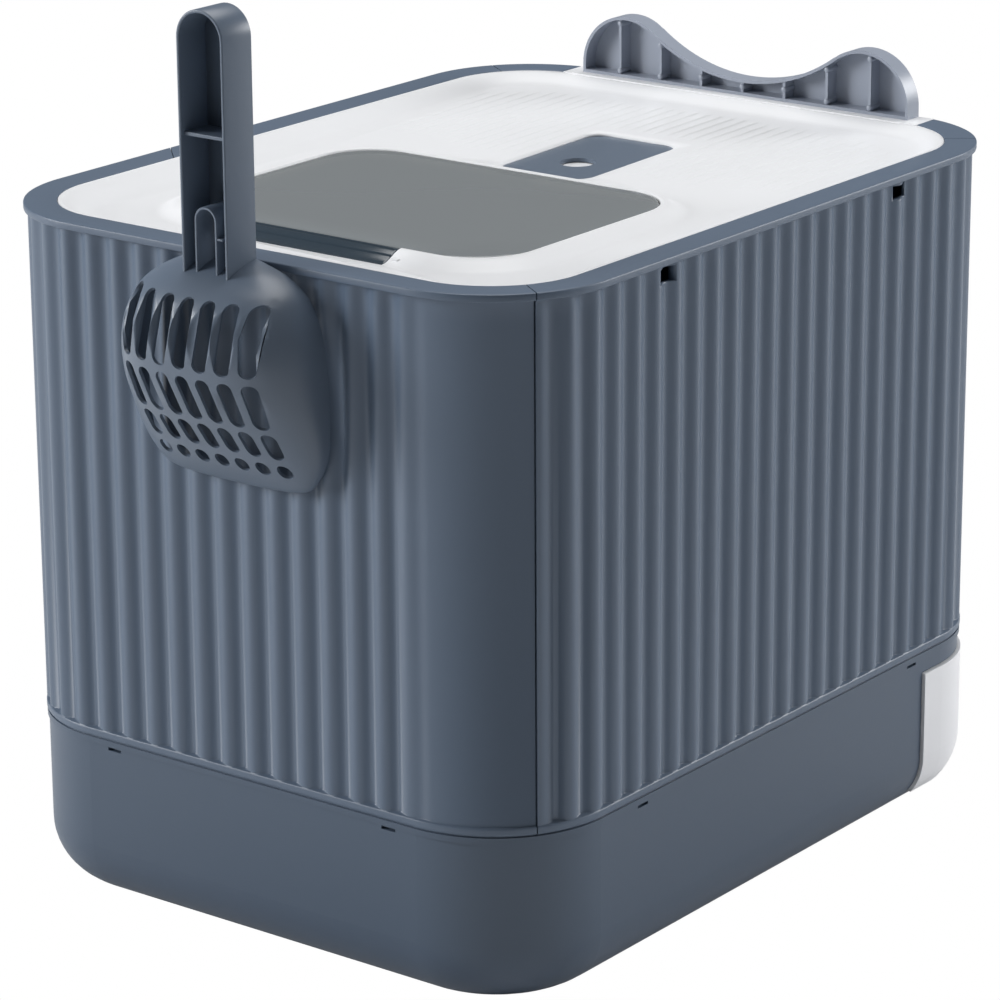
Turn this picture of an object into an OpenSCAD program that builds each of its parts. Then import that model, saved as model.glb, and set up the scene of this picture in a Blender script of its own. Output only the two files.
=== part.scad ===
/* [Body] */
// Width over the rim
body_w = 400; // [385:1:415]
// Depth over the rim
body_l = 515; // [500:1:530]
// Height to the top of the rim
body_h = 420; // [400:1:440]
// Outer corner radius of the rim
rim_r = 77; // [72:1:82]
// Width of the flat top of the rim
rim_w = 19.6; // [17:0.1:22]
// Height of the lip round the rim
rim_lip = 4.4; // [3.6:0.1:5]
// How far the walls stand in from the rim
wall_in = 2.3; // [1.5:0.1:3.5]
// Thickness of a wall where a flute is deepest
wall_t = 2; // [1.6:0.1:2.4]

/* [Flutes] */
// Number of flutes round the whole body
flutes = 88; // [80:1:96]
// How far the flutes are shifted round the body
flute_shift = 5.3; // [0:0.1:18]
// Depth of a flute from crest to valley
flute_d = 3.6; // [2.6:0.1:4]

/* [Base] */
// Height of the base
base_h = 108.5; // [104:0.5:112]
// Thickness of the base's walls
base_t = 2.5; // [2:0.1:3]
// Thickness of the base's floor
floor_t = 3; // [2.5:0.1:3.5]
// Radius of the bottom edge of the base
foot_r = 38; // [34:1:40]
// Height of the lip round the top of the base
lip_h = 4.2; // [3:0.1:5]
// How far that lip stands out
lip_out = 1; // [0.6:0.1:1.2]
// Width of a latch slot in the base
slot_w = 10; // [8:0.5:12]
// Height of a latch slot in the base
slot_h = 2.5; // [2:0.1:3]

/* [Drawer] */
// Where the drawer's front ends on the sides of the base
front_y = 160; // [150:1:170]
// Height of the drawer front's top edge
front_top = 93.5; // [88:0.5:95]
// Height of the drawer front's lower edge
front_low = 13; // [12.6:0.1:14]
// How far the drawer front stands out from the base
front_out = 2; // [1:0.1:2.2]
// Thickness of the drawer front
front_t = 3.2; // [2.5:0.1:3.4]
// Height of the runners that carry the tray
runner_h = 10; // [9.6:0.1:11]
// Height of the tray's top edge
tray_top = 90; // [84:0.5:91]
// Thickness of the tray
tray_t = 2.4; // [2:0.1:3]

/* [Lid] */
// Depth of the lid's deck below the rim
deck_drop = 9.3; // [8:0.1:10]
// Width of the slope from the rim to the deck
dish_w = 25; // [22:0.5:28]
// Rise of the deck towards the front
deck_rise = 3.3; // [2:0.1:4]
// Thickness of the lid
lid_t = 2.4; // [2:0.1:2.8]
// How far the tongue that carries the ears stops short of each side
tongue_side = 64; // [60:1:70]
// Height of the fine ribs on the deck
rib_h = 0.8; // [0.5:0.1:1.2]
// Spacing of the fine ribs
rib_pitch = 9.2; // [7:0.1:11]

/* [Door] */
// Distance from the door to each side of the body
door_side = 79; // [76:1:85]
// Distance from the door to the rear of the body
door_back = 77.5; // [75:0.5:80]
// Depth of the door opening
door_l = 186; // [180:1:190]
// Corner radius of the door
door_r = 37; // [32:1:42]
// Thickness of the door
door_t = 3; // [2.5:0.1:3.5]
// Depth of the door's edge below the rim
door_drop = 3.4; // [3:0.1:4]
// Width of the moulded slope round the door
collar_w = 17.7; // [15:0.1:19]
// Half width of the hinge block
hinge_x = 59; // [50:1:64]
// Radius of the hinge pins
pin_r = 1.8; // [1.5:0.1:2]

/* [Latch] */
// Width of the latch window
window_w = 66; // [60:1:70]
// Length of the latch window
window_l = 105; // [95:1:110]
// Distance the latch slides
latch_travel = 8; // [6:0.5:9]
// Width of the latch tongue
catch_w = 17; // [14:0.5:19]
// Radius of the finger hole
finger_r = 11; // [9:0.5:12]

/* [Ears] */
// Radius of each ear
ear_r = 34; // [30:0.5:36]
// Distance from the middle to each ear
ear_x = 91; // [86:1:94]
// Height of the ears above the rim
ear_h = 40; // [36:1:44]
// Depth of the ears from front to back
ear_d = 13; // [10:0.5:14]
// Thickness of the ears' walls
ear_t = 2; // [1.6:0.1:2.4]

/* [Scoop] */
// Width of the scoop's handle
grip_w = 33; // [28:1:38]
// Depth of the scoop's handle
grip_d = 24; // [20:1:28]
// Height of the handle's top above the rim
grip_up = 141; // [120:1:160]
// Half width of the scoop's head
head_x = 67; // [60:1:72]
// Length of the scoop's head
head_l = 124; // [116:1:130]
// Depth of the scoop's head
head_d = 49; // [44:1:52]
// Thickness of the scoop
scoop_t = 2; // [1.6:0.1:2.4]

/* [Hidden] */
// Gap between pieces that move past each other
clear = 0.4;
// Overlap that joins the solids of one piece
bite = 0.5;
$fn = 64;
half_w = body_w / 2;
half_l = body_l / 2;
valley_in = wall_in + flute_d;
mid_in = wall_in + flute_d / 2;
inner_in = valley_in + wall_t;
base_in = wall_in + lip_out;
base_inner_in = base_in + base_t;
skirt_in = base_inner_in + clear;
front_in = base_in - front_out;
tray_in = base_inner_in + 2.4;
tray_z = floor_t + runner_h + clear;
deck_z = body_h - deck_drop;
door_z = body_h - door_drop;
door_x = half_w - door_side;
door_rear = half_l - door_back;
door_front = door_rear - door_l;
slope_y = door_front - 14;
slope_end = 42.5 - half_l;
slope = atan(deck_rise / (slope_y - slope_end));
straight_w = body_w - 2 * rim_r;
straight_l = body_l - 2 * rim_r;
arc_r = rim_r - mid_in;
arc_l = arc_r * PI / 2;
run_1 = straight_l / 2;
run_2 = run_1 + arc_l;
run_3 = run_2 + straight_w;
run_4 = run_3 + arc_l;
run_5 = run_4 + straight_l;
run_6 = run_5 + arc_l;
run_7 = run_6 + straight_w;
run_8 = run_7 + arc_l;
run_all = run_8 + straight_l / 2;
flute_pitch = run_all / flutes;
// Flat left between a crest and a valley
flute_flat = 0.4;
flute_half = flute_pitch / 4 - flute_flat / 2;
flute_r = (pow(flute_half, 2) + pow(flute_d / 2, 2)) / flute_d;
seam_w = 0.6;
rim_z = body_h - rim_lip;
bead_h = 5;
bead_out = 0.25;
skirt_h = 10.5;
ledge_t = 2.4;
ledge_w = 3.5;
notch_x = half_w - rim_r + (rim_r - rim_w) * sqrt(0.5);
notch_y = half_l - rim_r + (rim_r - rim_w) * sqrt(0.5);
hinge_y = door_rear + 10;
hinge_z = body_h - 10;
barrel_r = pin_r + 1.6;
tongue_x = half_w - tongue_side;
lid_in = rim_w + clear;
lid_w = body_w - 2 * lid_in;
lid_l = body_l - 2 * lid_in;
slope_far = 36.5 - half_l;
dip_r = 119;
dip_z = 129.3;
dip_top = 33;
scoop_x = -3.5;
scoop_y = half_l + 1.5;
grip_top = body_h + grip_up;
head_top = body_h - 6;
head_low = head_top - head_l;
head_mid = body_h - 47;
arch_z = body_h + 24;
head_rows = [[76, 114.5], [44, 72], [24, 41], [11, 21.5]];
belly_r = head_d + 7;
belly_a = 34.6;
door_mid = (door_front + door_rear) / 2;
door_gap = 1;
// How far the door's middle stands above its edge, and where it starts
door_crown = 0.8;
crown_in = 8;
// Runners under the tray, from the sides, the front and the rear
runner_in = 50;
runner_w = 8;
runner_front = 87.5;
runner_back = 57.5;
// Play of a panel's catch in its slot
catch_gap = 0.3;
side_window_w = 15;
// Lugs that join the drawer's front to the tray
lug_w = 24;
lug_h = 35;
lug_z = 45;
// Latch plate, measured from the deck's slope
latch_w = 76;
latch_l = 122;
latch_t = 2.5;
latch_low = 4;
latch_side = 0.5;
latch_hole = 46;
latch_room_h = 3.2;
// Floor under the latch
cover_in = 6;
cover_t = 2;
ear_back_t = 2;
ear_rib_pitch = 32;
head_slot_pitch = 14.5;
head_slot_w = 9.6;

// Flat shape: a rectangle with round corners
module round_rect(w, l, r) {
    square([w - 2 * r, l], center = true);
    square([w, l - 2 * r], center = true);
    for (x = [-1, 1], y = [-1, 1]) {
        translate([x * (w / 2 - r), y * (l / 2 - r)]) circle(r);
    }
}

// Flat shape: the outline of the body, set in from the rim
module outline_in(d) {
    round_rect(body_w - 2 * d, body_l - 2 * d, rim_r - d);
}

// Flat shape: upright section with round lower corners
module dish_section(w, h, r) {
    difference() {
        translate([-w / 2, 0]) square([w, h]);
        for (x = [-1, 1]) {
            difference() {
                translate([x * (w / 2 - r / 2 + bite), r / 2 - bite])
                    square([r + 2 * bite, r + 2 * bite], center = true);
                translate([x * (w / 2 - r), r]) circle(r, $fn = 96);
            }
        }
    }
}

// Block with round corners and a round bottom edge
module round_dish(w, l, h, rc, rf) {
    rotate([90, 0, 0]) linear_extrude(l - 2 * rc, center = true) dish_section(w, h, rf);
    rotate([90, 0, 90]) linear_extrude(w - 2 * rc, center = true) dish_section(l, h, rf);
    for (x = [-1, 1], y = [-1, 1]) {
        translate([x * (w / 2 - rc), y * (l / 2 - rc), 0]) rotate_extrude() intersection() {
            dish_section(2 * rc, h, rf);
            square([rc, h]);
        }
    }
}

// Dish that follows the body, set in from the rim
module body_dish(d, h, rf) {
    round_dish(body_w - 2 * d, body_l - 2 * d, h, rim_r - d, rf);
}

// Carries a section round a rounded rectangle
module sweep(w, l, r) {
    for (s = [0, 180]) {
        rotate([0, 0, s]) translate([w / 2, 0, 0]) rotate([90, 0, 0])
            linear_extrude(l - 2 * r, center = true) children();
        rotate([0, 0, s]) translate([0, l / 2, 0]) rotate([90, 0, 90])
            linear_extrude(w - 2 * r, center = true) children();
    }
    for (x = [0, 1], y = [0, 1]) {
        mirror([x, 0, 0]) mirror([0, y, 0]) translate([w / 2 - r, l / 2 - r, 0])
            rotate_extrude(angle = 90) translate([r, 0]) children();
    }
}

// Places a shape on the deck's slope
module on_slope() {
    translate([0, slope_y, deck_z]) rotate([-slope, 0, 0]) children();
}

// Moves a flat shape to a distance s round one corner
module on_corner(x, y, turn, s, d) {
    translate(corner(x, y)) rotate(turn + s / arc_l * 90) translate([arc_r + d, 0]) children();
}

// Moves a flat shape to a distance s along the middle line of the wall
module along_wall(s, d) {
    if (s < run_1) translate([half_w - mid_in + d, s]) children();
    else if (s < run_2) on_corner(1, 1, 0, s - run_1, d) children();
    else if (s < run_3) translate([half_w - rim_r - (s - run_2), half_l - mid_in + d]) children();
    else if (s < run_4) on_corner(-1, 1, 90, s - run_3, d) children();
    else if (s < run_5) translate([mid_in - half_w - d, half_l - rim_r - (s - run_4)]) children();
    else if (s < run_6) on_corner(-1, -1, 180, s - run_5, d) children();
    else if (s < run_7) translate([rim_r - half_w + (s - run_6), mid_in - half_l - d]) children();
    else if (s < run_8) on_corner(1, -1, 270, s - run_7, d) children();
    else translate([half_w - mid_in + d, rim_r - half_l + (s - run_8)]) children();
}

// Flat shape: the fluted outside of the walls between two distances
module fluted(from, to) {
    difference() {
        outline_in(mid_in);
        for (i = [0:2 * flutes - 1]) {
            s = flute_shift + (i + 0.5) * flute_pitch;
            if (s > from && s < to) along_wall(s % run_all, flute_r - flute_d / 2) circle(flute_r, $fn = 48);
        }
    }
    for (i = [0:2 * flutes - 1]) {
        s = flute_shift + i * flute_pitch;
        if (s > from && s < to) along_wall(s % run_all, flute_d / 2 - flute_r) circle(flute_r, $fn = 48);
    }
}

// Corner points of the body's round corners
function corner(x, y) = [x * (half_w - rim_r), y * (half_l - rim_r)];
// A point out from a corner at an angle
function ray(x, y, a) = corner(x, y) + 150 * [x * cos(a), y * sin(a)];
// The seam on the side that faces away
seam_in = [half_w - 50, half_l - 130.2];
seam_out = [half_w + 40, half_l - 218.7];

// Flat shape: the thin gaps between the four panels
module seams() {
    translate(corner(-1, 1)) rotate(145) translate([0, -seam_w / 2]) square([150, seam_w]);
    translate(corner(-1, -1)) rotate(216) translate([0, -seam_w / 2]) square([150, seam_w]);
    translate(corner(1, -1)) rotate(-35) translate([0, -seam_w / 2]) square([150, seam_w]);
    translate(seam_in) rotate(-44.5) translate([0, -seam_w / 2]) square([150, seam_w]);
}

// Flat shape: a ring that follows the body
module ring(a, b) {
    difference() {
        outline_in(a);
        outline_in(b);
    }
}

// Solid ring between two heights, kept to one panel's share
module band(share, z0, z1, a, b) {
    translate([0, 0, z0]) linear_extrude(z1 - z0) difference() {
        intersection() {
            ring(a, b);
            polygon(share);
        }
        seams();
    }
}

// One wall panel with its flutes, lower bead, inner skirt, rim and lid ledge
module panel(share, from, to) {
    translate([0, 0, base_h + bead_h]) linear_extrude(rim_z - base_h - bead_h) difference() {
        intersection() {
            fluted(from, to);
            polygon(share);
        }
        outline_in(inner_in);
        seams();
    }
    band(share, base_h, base_h + seam_w, base_in, inner_in);
    band(share, base_h + seam_w, base_h + bead_h, wall_in - bead_out, inner_in);
    band(share, base_h - skirt_h, base_h + bead_h, skirt_in, skirt_in + wall_t);
    difference() {
        union() {
            band(share, rim_z, body_h, 0, rim_w);
            band(share, rim_z - ledge_t, rim_z, rim_w - wall_t, rim_w + ledge_w);
        }
        for (x = [-1, 1], y = [-1, 1]) {
            translate([x * notch_x, y * notch_y, rim_z - ledge_t - 1])
                cylinder(r = 2, h = rim_lip + ledge_t + 2);
        }
    }
}

// Slots in the base that the panels' catches reach into
slot_side = [half_l - 117.7, 110.8 - half_l];
window_side = [half_l - 138.5, 136 - half_l];
window_z = body_h - 15.5;
slot_rear = half_w - 97;
slot_z = base_h - lip_h - slot_h;

module base() {
    color("slategray") difference() {
        union() {
            body_dish(base_in, base_h, foot_r);
            translate([0, 0, base_h - lip_h]) linear_extrude(lip_h - bite) outline_in(wall_in);
        }
        translate([0, 0, floor_t]) body_dish(base_inner_in, base_h, foot_r - floor_t);
        translate([-body_w, -body_l, front_low - clear])
            cube([2 * body_w, body_l - front_y + clear, front_top + 1 - front_low + clear]);
        for (y = slot_side) {
            translate([-body_w, y - slot_w / 2, slot_z]) cube([2 * body_w, slot_w, slot_h]);
        }
        for (x = [-slot_rear, slot_rear]) {
            translate([x - slot_w / 2, half_l / 2, slot_z]) cube([slot_w, body_l, slot_h]);
        }
    }
    color("slategray") for (x = [-1, 1]) {
        translate([x * (half_w - runner_in) - runner_w / 2, runner_front - half_l, floor_t - bite])
            cube([runner_w, body_l - runner_front - runner_back, runner_h + bite]);
    }
}

// Catches on the skirt along a side
module side_catches(side, places) {
    for (y = places) {
        mirror([side > 0 ? 0 : 1, 0, 0])
            translate([half_w - skirt_in - bite, y - slot_w / 2 + clear, slot_z + catch_gap])
                cube([2 + bite, slot_w - 2 * clear, slot_h - 2 * catch_gap]);
    }
}

// Windows under the rim along a side
module side_windows(side, places) {
    for (y = places) {
        mirror([side > 0 ? 0 : 1, 0, 0]) translate([half_w - inner_in - 1, y - side_window_w / 2, window_z])
            cube([inner_in + 2, side_window_w, rim_z - ledge_t - 0.2 - window_z]);
    }
}

module panel_left() {
    color("slategray") difference() {
        panel([corner(-1, 1), ray(-1, 1, 35), ray(-1, -1, 36), corner(-1, -1)], run_3 + 0.5 * arc_l, run_6);
        side_windows(-1, window_side);
    }
    color("slategray") side_catches(-1, slot_side);
}

module panel_right() {
    color("slategray") difference() {
        panel([corner(1, -1), ray(1, -1, 35), seam_out, seam_in], run_7, run_all + run_1);
        side_windows(1, [window_side[1]]);
    }
    color("slategray") side_catches(1, [slot_side[1]]);
}

module panel_front() {
    color("slategray") difference() {
        panel([corner(-1, -1), ray(-1, -1, 36), ray(1, -1, 35), corner(1, -1)],
            run_5 + 0.2 * arc_l, run_8 - 0.2 * arc_l);
        translate([-tongue_x - clear, -body_l, rim_z])
            cube([2 * (tongue_x + clear), half_l + rim_w + 5, rim_lip + 1]);
    }
}

module panel_rear() {
    color("slategray") difference() {
        panel([seam_in, seam_out, [300, 300], [-300, 300], ray(-1, 1, 35), corner(-1, 1)], 60, run_4);
        side_windows(1, [window_side[0]]);
    }
    color("slategray") side_catches(1, [slot_side[0]]);
    color("slategray") for (x = [-slot_rear, slot_rear]) {
        translate([x - slot_w / 2 + clear, half_l - skirt_in - bite, slot_z + catch_gap])
            cube([slot_w - 2 * clear, 2 + bite, slot_h - 2 * catch_gap]);
    }
}

module scoop_hook() {
    color("slategray") translate([scoop_x - 4.5, half_l - 7, 0]) {
        translate([0, -3, body_h]) cube([9, 9, 2]);
        translate([0, 0, body_h]) cube([9, 5, 12.5]);
        translate([0, 0, body_h + 10.3]) rotate([45, 0, 0]) cube([9, 20, 4.5]);
    }
}

module drawer_tray() {
    color("slategray") translate([0, 0, tray_z]) difference() {
        body_dish(tray_in, tray_top - tray_z, 30);
        translate([0, 0, tray_t]) body_dish(tray_in + tray_t, tray_top, 30 - tray_t);
    }
}

module drawer_front() {
    color("white") intersection() {
        difference() {
            translate([0, 0, -front_out]) body_dish(front_in, base_h, foot_r + front_out);
            translate([0, 0, front_t - front_out])
                body_dish(front_in + front_t, base_h, foot_r + front_out - front_t);
        }
        translate([-body_w, -body_l, front_low])
            cube([2 * body_w, body_l - front_y - clear, front_top - front_low]);
    }
    color("white") for (x = [-110, 0, 110]) {
        translate([x - lug_w / 2, front_in + front_t - half_l - bite, lug_z])
            cube([lug_w, tray_in - front_in - front_t + bite, lug_h]);
    }
}

// Flat shape: section through the slope round the lid
module slope_section() {
    polygon([[0, rim_z - body_h], [0, -0.3], [-dish_w, -deck_drop], [-dish_w - 2, -deck_drop],
        [-dish_w - 2, -deck_drop - lid_t], [-dish_w, -deck_drop - lid_t], [-lid_t - 2, rim_z - body_h + 0.2],
        [-lid_t - 2, rim_z - body_h]]);
}

// Flat shape: section through the moulded slope round the door
module collar_section() {
    polygon(concat([[0, -deck_drop - lid_t]], collar_curve(), [[collar_w, -deck_drop - lid_t]]));
}

// Points of the S-shaped top of that slope
function collar_curve() =
    [for (i = [0:6]) [collar_w * i / 6, -deck_drop + (deck_drop - door_drop) * (1 + cos(30 * i)) / 2]];

module lid() {
    color("white") difference() {
        union() {
            translate([0, 0, body_h]) sweep(lid_w, lid_l, rim_r - lid_in) slope_section();
            translate([0, 0, deck_z - lid_t]) linear_extrude(lid_t) outline_in(lid_in + dish_w + 1);
            intersection() {
                rotate([90, 0, 90]) linear_extrude(body_w - 60, center = true)
                    polygon([[slope_y, deck_z - lid_t], [slope_y, deck_z],
                        [slope_far, deck_z + (slope_y - slope_far) * tan(slope)], [slope_far, deck_z - lid_t]]);
                translate([0, 0, deck_z - lid_t]) linear_extrude(30) outline_in(lid_in + 16);
            }
            translate([0, door_mid, body_h]) sweep(2 * door_x + 2, door_l + 2, door_r + 1) collar_section();
            translate([-tongue_x, 0.5 - half_l, rim_z + 0.2]) cube([2 * tongue_x, lid_in + 2, rim_lip - 0.2]);
            deck_ribs();
        }
        translate([0, door_mid, deck_z - 20]) linear_extrude(40)
            round_rect(2 * door_x + 2, door_l + 2, door_r + 1);
        on_slope() translate([0, -5 - window_l / 2, -10]) linear_extrude(30)
            round_rect(window_w, window_l, 13);
        on_slope() latch_room();
        hinge_room();
    }
    color("white") difference() {
        translate([0, door_mid, door_z - door_t - clear - 2]) linear_extrude(2) difference() {
            round_rect(2 * door_x + 3, door_l + 3, door_r + 1.5);
            round_rect(2 * door_x - 12, door_l - 12, door_r - 6);
        }
        hinge_room();
        translate([-15, door_front - 3, deck_z - 20]) cube([30, 10, 40]);
    }
    color("white") for (x = [-1, 1]) {
        difference() {
            translate([x > 0 ? hinge_x + 0.6 : -hinge_x - 7, hinge_y, hinge_z]) rotate([0, 90, 0])
                cylinder(r = pin_r + 1.8, h = 6.4);
            translate([x > 0 ? hinge_x : -hinge_x - 6, hinge_y, hinge_z]) rotate([0, 90, 0])
                cylinder(r = pin_r + 0.3, h = 6);
        }
    }
}

// Room for the hinge block to turn in
module hinge_room() {
    translate([-hinge_x - 0.6, door_rear - 20, deck_z - 20]) cube([2 * hinge_x + 1.2, 39.2, 40]);
    for (x = [-hinge_x - 6, hinge_x]) {
        translate([x, hinge_y, hinge_z]) rotate([0, 90, 0]) cylinder(r = pin_r + 0.3, h = 6);
    }
}

// Fine ribs along the front part of the deck
module deck_ribs() {
    intersection() {
        on_slope() for (i = [-17:17]) {
            near = abs(i * rib_pitch) < window_w / 2 + 5 ? -5 - window_l - 6 : -10;
            translate([i * rib_pitch - 0.6, -body_l, -1]) cube([1.2, body_l + near, 1 + rib_h]);
        }
        translate([0, (door_front - 24 + slope_end + 3) / 2, deck_z - 2]) linear_extrude(20)
            round_rect(body_w - 80, door_front - 24 - slope_end - 3, 45);
    }
}

// Room for the latch to slide in
module latch_room() {
    translate([-latch_w / 2 - latch_side, -latch_l - latch_side, -latch_low - clear])
        cube([latch_w + 2 * latch_side, latch_l + latch_side + latch_travel, latch_room_h]);
    translate([-catch_w / 2 - clear, 0, -latch_low - clear]) cube([catch_w + 2 * clear, 25, latch_room_h]);
}

module latch_cover() {
    color("white") difference() {
        on_slope() translate([-latch_w / 2 - cover_in, -latch_l - cover_in, -latch_low - clear - cover_t])
            cube([latch_w + 2 * cover_in, latch_l + cover_in + 9, 12]);
        on_slope() latch_room();
        translate([-body_w, -body_l, deck_z - lid_t]) cube([2 * body_w, 2 * body_l, 40]);
    }
}

module latch() {
    color("dimgray") on_slope() difference() {
        union() {
            translate([-latch_w / 2, -latch_l, -latch_low]) cube([latch_w, latch_l, latch_t]);
            translate([-catch_w / 2, -1, -latch_low]) cube([catch_w, 12, latch_t]);
        }
        translate([0, -latch_hole, -10]) cylinder(r = finger_r, h = 20);
    }
}

module ear_crest() {
    color("slategray") translate([0, -half_l + 1.5, body_h]) rotate([90, 0, 180]) {
        linear_extrude(ear_back_t) ear_shape(0);
        linear_extrude(ear_d) difference() {
            ear_shape(0);
            ear_shape(ear_t);
        }
        linear_extrude(ear_d - 1) intersection() {
            ear_shape(ear_t / 2);
            for (i = [-3:3]) {
                translate([i * ear_rib_pitch - 1, 0]) square([2, ear_h + 10]);
            }
        }
    }
}

// Flat shape: the outline of both ears, made smaller by d
module ear_shape(d) {
    difference() {
        union() {
            translate([-ear_x, d]) square([2 * ear_x, dip_top - d]);
            for (x = [-ear_x, ear_x]) {
                intersection() {
                    translate([x, ear_h - ear_r]) circle(ear_r - d, $fn = 96);
                    translate([x - ear_r, d]) square([2 * ear_r, 2 * ear_r]);
                }
                translate([x - ear_r + d, d]) square([2 * (ear_r - d), ear_h - ear_r - d]);
            }
        }
        translate([0, dip_z]) circle(dip_r + d, $fn = 180);
    }
}

module door() {
    color("gray") {
        translate([0, door_mid - door_gap / 2, door_z - door_t]) linear_extrude(door_t)
            round_rect(2 * door_x, door_l - door_gap, door_r);
        translate([0, door_mid, door_z - bite]) linear_extrude(bite + door_crown)
            round_rect(2 * (door_x - crown_in), door_l - 2 * crown_in, door_r - crown_in);
    }
    color("gray") difference() {
        translate([-14, door_front + 0.5, deck_z - 8])
            cube([28, 2, 8 + deck_drop - door_drop - door_t + bite]);
        translate([-catch_w / 2 - 1, door_front - 1, deck_z - 5.8]) cube([catch_w + 2, 5, 5.6]);
    }
}

module hinge_block() {
    color("dimgray") {
        translate([-hinge_x, 0, 0]) rotate([90, 0, 90]) linear_extrude(2 * hinge_x) intersection() {
            translate([door_rear + 1, body_h]) collar_section();
            translate([door_rear, deck_z - 2]) square([collar_w + 0.6, 20]);
        }
        translate([-hinge_x, hinge_y, hinge_z]) rotate([0, 90, 0]) cylinder(r = barrel_r, h = 2 * hinge_x);
        translate([-hinge_x - 5, hinge_y, hinge_z]) rotate([0, 90, 0])
            cylinder(r = pin_r, h = 2 * hinge_x + 10);
        translate([-hinge_x + 3, door_rear - 16, door_z - door_t - 2]) cube([2 * hinge_x - 6, 26, 2]);
    }
}

// Flat shape: the handle's outline, made smaller by d
module grip_shape(d) {
    translate([scoop_x, grip_top - grip_w / 2]) circle(grip_w / 2 - d);
    translate([scoop_x - grip_w / 2 + d, head_top - 2])
        square([grip_w - 2 * d, grip_top - grip_w / 2 - head_top + 2]);
}

// Flat shape: the arch inside the handle
module arch_shape(d) {
    translate([scoop_x, arch_z]) circle(8 - d);
    translate([scoop_x - 8 + d, head_top]) square([16 - 2 * d, arch_z - head_top]);
}

// Solid bulge of the scoop's head, made smaller by d
module head_bulge(d) {
    intersection() {
        translate([scoop_x, scoop_y + head_d + 1, 0]) rotate([90, 0, 0])
            linear_extrude(head_d + 1 + 10 * d) head_face(d);
        translate([scoop_x, 0, 0]) rotate([90, 0, 90]) linear_extrude(200, center = true) head_side(d);
        translate([scoop_x, scoop_y, head_low - 20]) linear_extrude(160) head_plan(d);
    }
}

module head_face(d) {
    translate([-head_x + d, head_low + 26]) square([2 * (head_x - d), head_top - head_low - 74]);
    translate([-41, head_low + d]) square([82, 40]);
    for (x = [-1, 1]) {
        translate([x * (head_x - 53), head_top + 5 - 53]) circle(53 - d, $fn = 96);
        translate([x * 41, head_low + 26]) circle(26 - d);
    }
    translate([-14, head_top - 50]) square([28, 55 - d]);
}

module head_side(d) {
    intersection() {
        translate([scoop_y - 2, head_mid]) circle(head_d + 2 - d, $fn = 96);
        translate([scoop_y - 10 * d, head_mid - 1]) square([100, 100]);
    }
    intersection() {
        translate([scoop_y + head_d - belly_r, head_mid]) circle(belly_r - d, $fn = 120);
        translate([scoop_y - 10 * d, head_mid - belly_r * sin(belly_a)])
            square([100, belly_r * sin(belly_a)]);
    }
    start = [scoop_y + head_d - belly_r, head_mid] + (belly_r - d) * [cos(belly_a), -sin(belly_a)];
    fall = start[1] - head_low;
    polygon([start, [start[0] - fall * tan(belly_a), head_low], [scoop_y - 10 * d - 1, head_low],
        [scoop_y - 10 * d - 1, start[1]]]);
}

module head_plan(d) {
    for (x = [-1, 1]) {
        translate([x * (head_x - head_d), 0]) circle(head_d - d, $fn = 96);
    }
    translate([-head_x + head_d, 0]) square([2 * (head_x - head_d), head_d - d]);
}

module scoop() {
    color("slategray") difference() {
        translate([0, scoop_y + grip_d, 0]) rotate([90, 0, 0]) union() {
            linear_extrude(grip_d) difference() {
                grip_shape(0);
                grip_shape(scoop_t);
            }
            linear_extrude(grip_d) difference() {
                arch_shape(0);
                arch_shape(1.6);
            }
            translate([0, 0, grip_d - scoop_t]) linear_extrude(scoop_t) grip_shape(0);
            linear_extrude(grip_d) intersection() {
                grip_shape(scoop_t / 2);
                translate([scoop_x - grip_w / 2, body_h + 70]) square([grip_w, 2]);
            }
        }
        translate([0, scoop_y + 5, 0]) rotate([90, 0, 0]) linear_extrude(10) arch_shape(1.6);
        head_bulge(scoop_t);
    }
    color("slategray") difference() {
        head_bulge(0);
        head_bulge(scoop_t);
        for (i = [-3:3], r = head_rows) {
            translate([scoop_x + i * head_slot_pitch, scoop_y + 100, 0]) rotate([90, 0, 0]) linear_extrude(100)
                slot_shape(head_slot_w, head_low + r[0], head_low + r[1]);
        }
    }
}

// Flat shape: an upright slot with round ends
module slot_shape(w, z0, z1) {
    translate([0, z0 + w / 2]) circle(w / 2, $fn = 32);
    translate([0, z1 - w / 2]) circle(w / 2, $fn = 32);
    translate([-w / 2, z0 + w / 2]) square([w, z1 - z0 - w]);
}

base();
panel_left();
panel_right();
panel_front();
panel_rear();
scoop_hook();
drawer_tray();
drawer_front();
lid();
latch_cover();
ear_crest();
door();
hinge_block();
latch();
scoop();
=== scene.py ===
import math
import bmesh
import bpy
from mathutils import Matrix, Vector
from mathutils.geometry import delaunay_2d_cdt


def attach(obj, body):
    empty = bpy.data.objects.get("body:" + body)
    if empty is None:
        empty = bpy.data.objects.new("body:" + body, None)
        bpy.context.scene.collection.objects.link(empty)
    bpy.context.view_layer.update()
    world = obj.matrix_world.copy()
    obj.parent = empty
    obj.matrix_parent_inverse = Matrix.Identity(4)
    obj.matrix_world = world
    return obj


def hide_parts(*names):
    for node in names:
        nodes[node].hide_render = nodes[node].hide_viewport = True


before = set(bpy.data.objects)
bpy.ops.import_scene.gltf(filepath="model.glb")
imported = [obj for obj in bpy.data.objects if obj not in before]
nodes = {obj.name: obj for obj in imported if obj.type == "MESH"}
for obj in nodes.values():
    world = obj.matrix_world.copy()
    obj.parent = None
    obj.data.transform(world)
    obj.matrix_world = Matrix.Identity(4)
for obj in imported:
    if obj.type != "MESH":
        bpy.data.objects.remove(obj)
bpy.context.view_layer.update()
MM = 0.001

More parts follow.
